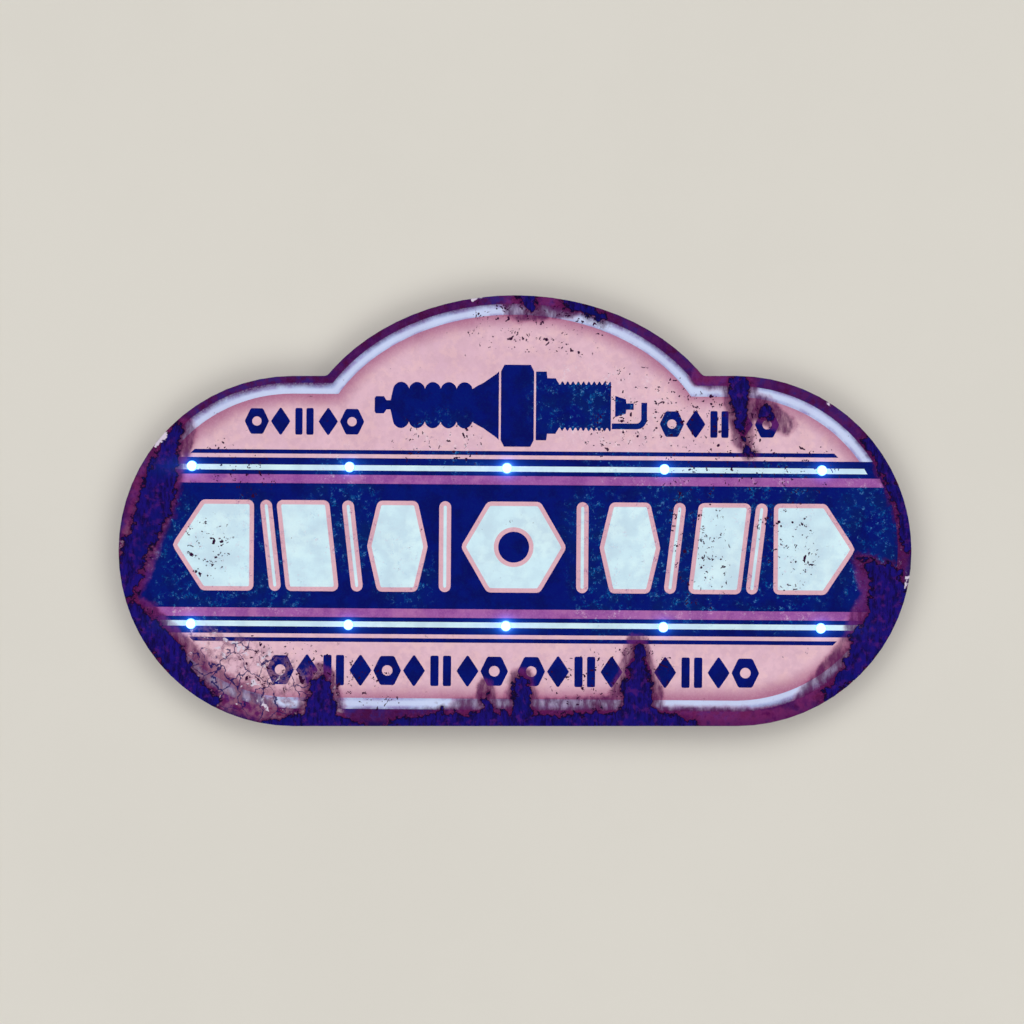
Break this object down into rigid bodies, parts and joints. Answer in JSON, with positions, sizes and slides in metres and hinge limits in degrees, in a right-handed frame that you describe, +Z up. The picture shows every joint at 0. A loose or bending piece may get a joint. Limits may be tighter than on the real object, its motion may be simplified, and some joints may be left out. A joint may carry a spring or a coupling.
{
  "type": "lighted advertising sign",
  "caption": "Battery-lit metal wall sign with a domed top: printed face, deep strip return, rows of clear lamps, and a battery box and keyhole hangers behind.",
  "frame": {"origin": "on the wall plane, at the centre of the sign's round-ended body", "axes": "+X along the sign to the right as seen from the front, -Y out of the face towards the viewer, +Z up"},
  "size_m": [0.6, 0.0286, 0.326],
  "materials": {
    "printed_face": "printed enamel look, aged, satin",
    "return_paint": "satin paint with printed wear",
    "zinc_plate": "zinc plated",
    "contact_steel": "nickel plated",
    "lamp_lens": "clear, polished",
    "black_plastic": "moulded",
    "wire_pvc": "smooth insulation",
    "foam_tape": "foam",
    "cell_jacket": "printed jacket",
    "knob_plastic": "moulded",
    "resistor_coat": "lacquered"
  },
  "bodies": {
    "sign": {"battery_box": "black_plastic", "cell_1": "cell_jacket", "cell_2": "cell_jacket", "cell_3": "cell_jacket", "contact_bridge_left": "contact_steel", "contact_bridge_right": "contact_steel", "contact_negative": "contact_steel", "contact_positive": "contact_steel", "face_panel": "printed_face", "feeder_lower": "wire_pvc", "feeder_upper": "wire_pvc", "foam_tape_pad": "foam_tape", "hanger_left": "zinc_plate", "hanger_right": "zinc_plate", "hanger_rivet_left_front": "zinc_plate", "hanger_rivet_left_rear": "zinc_plate", "hanger_rivet_right_front": "zinc_plate", "hanger_rivet_right_rear": "zinc_plate", "lamp_holder_lower_1": "black_plastic", "lamp_holder_lower_2": "black_plastic", "lamp_holder_lower_3": "black_plastic", "lamp_holder_lower_4": "black_plastic", "lamp_holder_lower_5": "black_plastic", "lamp_holder_upper_1": "black_plastic", "lamp_holder_upper_2": "black_plastic", "lamp_holder_upper_3": "black_plastic", "lamp_holder_upper_4": "black_plastic", "lamp_holder_upper_5": "black_plastic", "lamp_lower_1": "lamp_lens", "lamp_lower_2": "lamp_lens", "lamp_lower_3": "lamp_lens", "lamp_lower_4": "lamp_lens", "lamp_lower_5": "lamp_lens", "lamp_upper_1": "lamp_lens", "lamp_upper_2": "lamp_lens", "lamp_upper_3": "lamp_lens", "lamp_upper_4": "lamp_lens", "lamp_upper_5": "lamp_lens", "positive_lead": "wire_pvc", "resistor": "resistor_coat", "return_dome": "return_paint", "return_left": "return_paint", "return_right": "return_paint", "seam_splice": "return_paint", "shoulder_splice_left": "return_paint", "shoulder_splice_right": "return_paint", "switch_body": "contact_steel", "wire_clip_lower": "black_plastic", "wire_clip_upper": "black_plastic", "wire_lower_1": "wire_pvc", "wire_lower_2": "wire_pvc", "wire_lower_3": "wire_pvc", "wire_lower_4": "wire_pvc", "wire_upper_1": "wire_pvc", "wire_upper_2": "wire_pvc", "wire_upper_3": "wire_pvc", "wire_upper_4": "wire_pvc"},
    "lid": {"battery_lid": "black_plastic"},
    "knob": {"switch_knob": "knob_plastic"}
  },
  "joints": [
    {"name": "lid_slide", "type": "slide", "parent": "sign", "child": "lid", "axis": [1, 0, 0], "range_m": [0, 0.064]},
    {"name": "switch_slide", "type": "slide", "parent": "sign", "child": "knob", "axis": [0, 0, -1], "range_m": [0, 0.004]}
  ]
}
